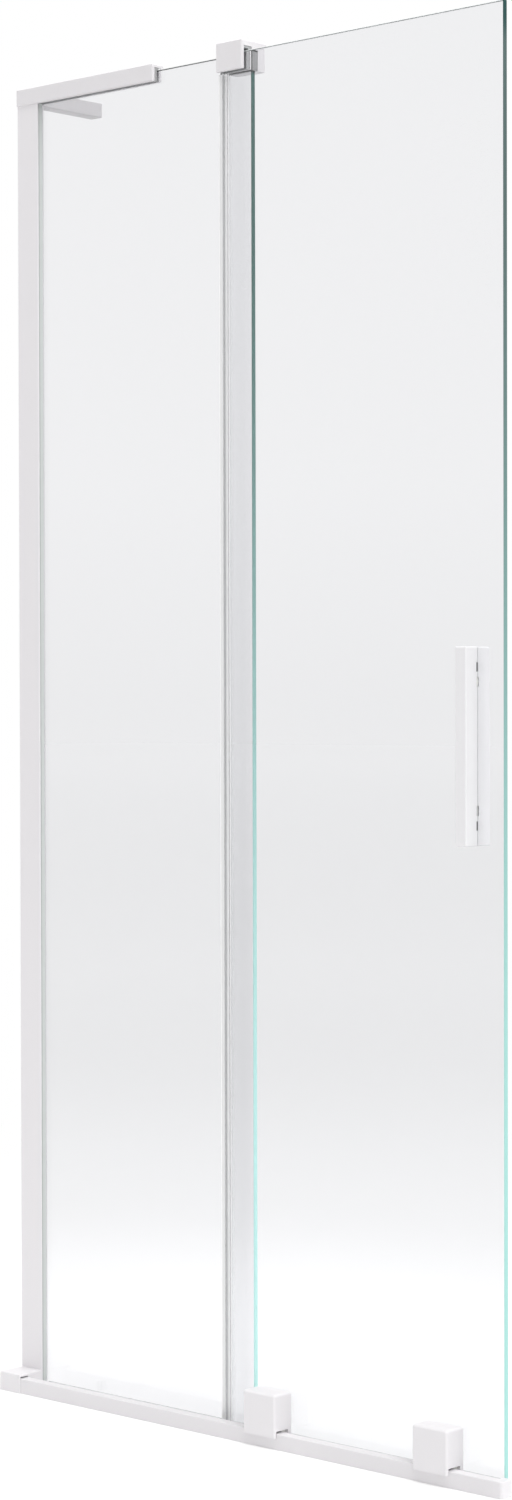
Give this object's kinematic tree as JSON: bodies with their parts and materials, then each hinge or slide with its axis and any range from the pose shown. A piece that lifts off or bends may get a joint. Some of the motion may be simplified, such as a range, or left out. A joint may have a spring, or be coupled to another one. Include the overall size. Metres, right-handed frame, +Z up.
{
  "type": "sliding bath screen",
  "caption": "Frameless glass bath screen: a fixed pane on a white wall channel and a pane that rolls along a rim rail in front of it, with bar handles.",
  "frame": {"origin": "where the middle plane of the fixed pane meets the wall face and the bath rim", "axes": "+X along the screen away from the wall, +Y from the sliding pane's side to the fixed pane's far side, +Z up"},
  "size_m": [0.7357, 0.1607, 1.513],
  "materials": {
    "white_coat": "satin",
    "white_plastic": "semi-gloss",
    "clear_glass": "polished",
    "clear_seal": "satin",
    "pale_gasket": "matt",
    "black_rubber": "matt",
    "nylon": "matt",
    "steel": "brushed"
  },
  "bodies": {
    "frame": {"wall_channel": "white_coat", "bracket_bar": "white_coat", "bracket_leg": "white_coat", "bottom_rail": "white_coat", "guide_block": "white_plastic", "rail_wall_block": "white_plastic", "rail_end_cap": "white_plastic", "fixed_glass": "clear_glass", "fixed_foot_seal": "clear_seal", "channel_gaskets": "pale_gasket", "bracket_gasket": "pale_gasket", "guide_end_pad": "pale_gasket", "guide_liner": "black_rubber", "stop_bumpers": "black_rubber", "guide_glide": "nylon", "setting_blocks": "nylon", "rail_stops": "nylon", "bracket_set_screws": "steel", "bracket_joint_screws": "steel", "bracket_wall_plate": "steel", "bracket_grub_screws": "steel", "guide_set_screws": "steel"},
    "sliding_panel": {"sliding_glass": "clear_glass", "edge_seal": "clear_seal", "drip_seal": "clear_seal", "roller_block_left": "white_plastic", "roller_block_right": "white_plastic", "roller_pads": "black_rubber", "roller_bolts": "steel", "roller_washers": "black_rubber", "roller_axles": "steel", "axle_spacers": "steel", "roller_shoes": "nylon", "handle_front_bar": "white_coat", "handle_rear_bar": "white_coat", "handle_studs": "steel", "handle_collars": "nylon", "handle_pads": "black_rubber"},
    "wheel_left": {"roller_wheel_left": "nylon", "roller_bearing_left": "steel"},
    "wheel_right": {"roller_wheel_right": "nylon", "roller_bearing_right": "steel"}
  },
  "joints": [
    {"name": "panel_slide", "type": "slide", "parent": "frame", "child": "sliding_panel", "axis": [-1, 0, 0], "range_m": [0, 0.29]},
    {"name": "wheel_left_spin", "type": "hinge", "parent": "sliding_panel", "child": "wheel_left", "pos_m": [0.40925, -0.0366, 0.0303], "axis": [0, 1, 0], "range_deg": [-1290, 10]},
    {"name": "wheel_right_spin", "type": "hinge", "parent": "sliding_panel", "child": "wheel_right", "pos_m": [0.64505, -0.0366, 0.0303], "axis": [0, 1, 0], "range_deg": [-1290, 10]}
  ],
  "couplings": [
    {"joint": "wheel_left_spin", "follows": "panel_slide", "rad_per_m": -76.923},
    {"joint": "wheel_right_spin", "follows": "panel_slide", "rad_per_m": -76.923}
  ]
}
